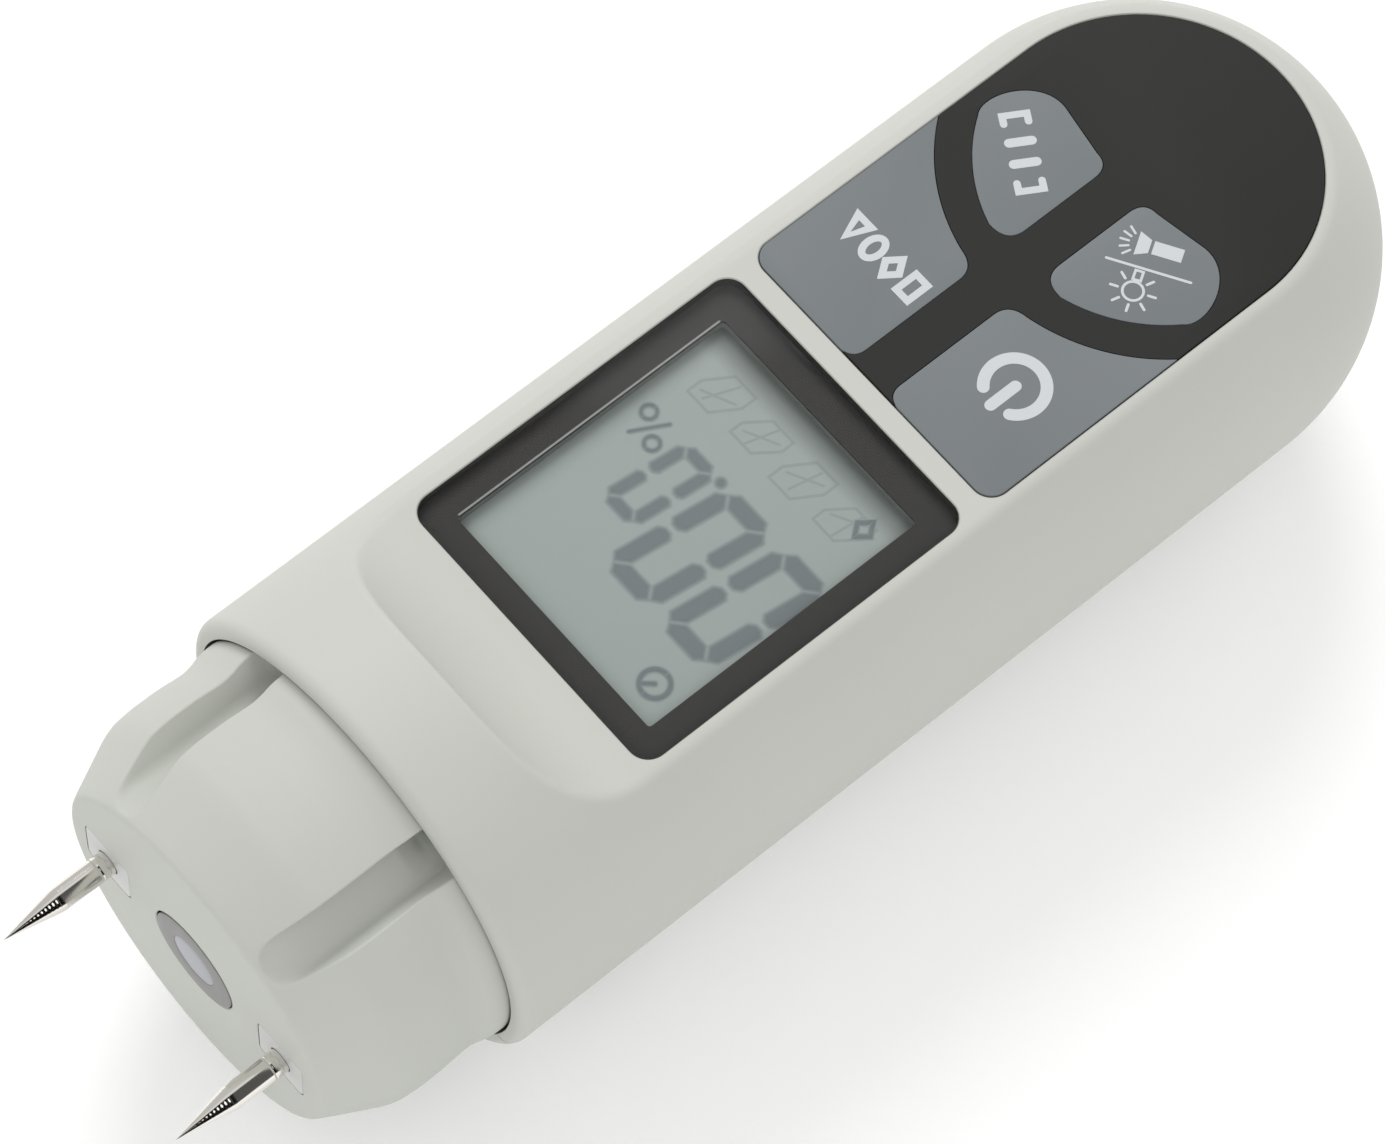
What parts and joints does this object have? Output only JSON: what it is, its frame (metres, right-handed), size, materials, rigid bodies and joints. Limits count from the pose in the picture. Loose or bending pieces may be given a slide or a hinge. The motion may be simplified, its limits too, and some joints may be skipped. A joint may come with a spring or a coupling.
{
  "type": "pin-type moisture meter",
  "caption": "Hand-held moisture meter: round barrel with a flat display and key deck, a nose block carrying two long measuring pins and a torch, battery box under a sliding door.",
  "frame": {"origin": "middle of the footprint, on the surface the meter lies on with its back down", "axes": "+X along the barrel towards the pins, +Z out of the display, +Y to the side with the power key"},
  "size_m": [0.151, 0.048, 0.048],
  "materials": {
    "housing_plastic": "fine-textured moulded plastic, warm light grey",
    "nose_plastic": "smoother moulded plastic, cooler light grey",
    "insert_plastic": "smooth pale grey",
    "black_film": "charcoal film with a soft sheen",
    "key_film": "satin blue-grey film",
    "clear_plastic": "clear, polished",
    "display_glass": "polished display glass over a grey-green back",
    "white_plastic": "plain moulded white",
    "soft_rubber": "matte",
    "circuit_board": "green lacquered laminate",
    "black_component": "moulded black",
    "bezel_plastic": "mid grey with a metallic sheen",
    "pin_plating": "bright nickel plate with fine turning marks",
    "socket_brass": "turned",
    "screw_steel": "zinc plated",
    "battery_jacket": "plain blue-grey printed jacket, no markings",
    "wire_red": "satin insulation",
    "wire_black": "satin insulation",
    "wire_white": "satin insulation"
  },
  "bodies": {
    "meter_body": {"top_housing": "housing_plastic", "bottom_housing": "housing_plastic", "nose_block": "nose_plastic", "pin_insert_left": "insert_plastic", "pin_insert_right": "insert_plastic", "window_border": "black_film", "keypad_overlay": "black_film", "display_window": "clear_plastic", "torch_lens": "clear_plastic", "torch_led": "clear_plastic", "light_guide": "clear_plastic", "lcd_panel": "display_glass", "lcd_frame": "white_plastic", "zebra_strip_front": "soft_rubber", "zebra_strip_rear": "soft_rubber", "battery_snap": "soft_rubber", "battery_pad": "soft_rubber", "main_board": "circuit_board", "torch_board": "circuit_board", "controller_chip": "black_component", "buzzer": "black_component", "switch_power": "black_component", "switch_mode": "black_component", "switch_light": "black_component", "switch_hold": "black_component", "torch_bezel": "bezel_plastic", "measuring_pin_left": "pin_plating", "measuring_pin_right": "pin_plating", "pin_socket_left": "socket_brass", "pin_socket_right": "socket_brass", "case_screw_1": "screw_steel", "case_screw_2": "screw_steel", "case_screw_3": "screw_steel", "case_screw_4": "screw_steel", "board_screw_1": "screw_steel", "board_screw_2": "screw_steel", "board_screw_3": "screw_steel", "battery": "battery_jacket", "battery_lead_red": "wire_red", "torch_lead_left": "wire_red", "battery_lead_black": "wire_black", "torch_lead_right": "wire_black", "pin_lead_left": "wire_white", "pin_lead_right": "wire_white"},
    "key_power": {"key_power": "key_film", "switch_button_power": "black_component"},
    "key_mode": {"key_mode": "key_film", "switch_button_mode": "black_component"},
    "key_light": {"key_light": "key_film", "switch_button_light": "black_component"},
    "key_hold": {"key_hold": "key_film", "switch_button_hold": "black_component"},
    "battery_door": {"battery_door": "housing_plastic"}
  },
  "joints": [
    {"name": "press_power", "type": "slide", "parent": "meter_body", "child": "key_power", "axis": [0, 0, -1], "range_m": [0, 0.0003], "stiffness_N_per_m": 800},
    {"name": "press_mode", "type": "slide", "parent": "meter_body", "child": "key_mode", "axis": [0, 0, -1], "range_m": [0, 0.0003], "stiffness_N_per_m": 800},
    {"name": "press_light", "type": "slide", "parent": "meter_body", "child": "key_light", "axis": [0, 0, -1], "range_m": [0, 0.0003], "stiffness_N_per_m": 800},
    {"name": "press_hold", "type": "slide", "parent": "meter_body", "child": "key_hold", "axis": [0, 0, -1], "range_m": [0, 0.0003], "stiffness_N_per_m": 800},
    {"name": "door_slide", "type": "slide", "parent": "meter_body", "child": "battery_door", "axis": [-1, 0, 0], "range_m": [0, 0.088]}
  ]
}
